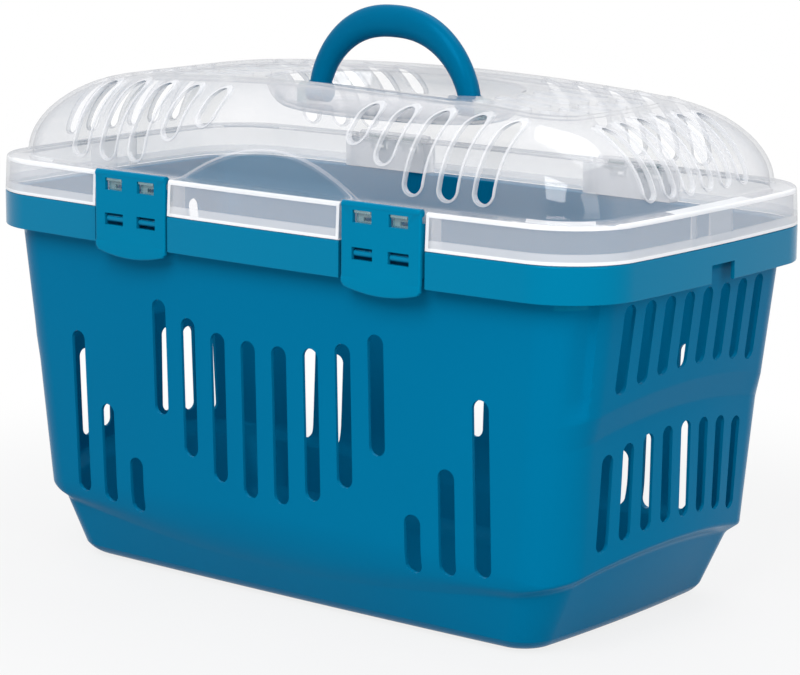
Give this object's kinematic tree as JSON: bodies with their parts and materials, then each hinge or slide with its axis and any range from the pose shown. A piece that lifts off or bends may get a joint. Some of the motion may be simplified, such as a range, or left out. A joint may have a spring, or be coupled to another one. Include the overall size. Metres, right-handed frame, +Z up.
{
  "type": "small animal carrier",
  "caption": "Slotted plastic tub with a clear vented domed lid, snap clips along both long sides and an arched carrying handle.",
  "frame": {"origin": "middle of the tub's underside, on the surface that it stands on", "axes": "+X along the length, to the right as seen from the front; -Y to the front; +Z up"},
  "size_m": [0.4, 0.216, 0.2971],
  "materials": {
    "tub_plastic": "semi-gloss moulded",
    "clip_plastic": "semi-gloss moulded",
    "handle_plastic": "semi-gloss moulded",
    "clear_lid": "clear moulded"
  },
  "bodies": {
    "base_tub": {"base_tub": "tub_plastic"},
    "lid": {"lid": "clear_lid"},
    "handle": {"handle": "handle_plastic"},
    "front_left_clip": {"front_left_clip": "clip_plastic"},
    "front_right_clip": {"front_right_clip": "clip_plastic"},
    "rear_left_clip": {"rear_left_clip": "clear_lid"},
    "rear_right_clip": {"rear_right_clip": "clear_lid"}
  },
  "joints": [
    {"name": "lid_hinge", "type": "hinge", "parent": "base_tub", "child": "lid", "pos_m": [0, 0.10575, 0.2128], "axis": [-1, 0, 0], "range_deg": [0, 100]},
    {"name": "handle_fold", "type": "hinge", "parent": "lid", "child": "handle", "pos_m": [0, 0, 0.2497], "axis": [1, 0, 0], "range_deg": [-62, 62]},
    {"name": "front_left_clip_hinge", "type": "hinge", "parent": "lid", "child": "front_left_clip", "pos_m": [-0.081, -0.10575, 0.2128], "axis": [-1, 0, 0], "range_deg": [0, 100]},
    {"name": "front_right_clip_hinge", "type": "hinge", "parent": "lid", "child": "front_right_clip", "pos_m": [0.081, -0.10575, 0.2128], "axis": [-1, 0, 0], "range_deg": [0, 100]},
    {"name": "rear_left_clip_hinge", "type": "hinge", "parent": "base_tub", "child": "rear_left_clip", "pos_m": [-0.081, 0.10575, 0.2128], "axis": [1, 0, 0], "range_deg": [0, 100]},
    {"name": "rear_right_clip_hinge", "type": "hinge", "parent": "base_tub", "child": "rear_right_clip", "pos_m": [0.081, 0.10575, 0.2128], "axis": [1, 0, 0], "range_deg": [0, 100]}
  ]
}
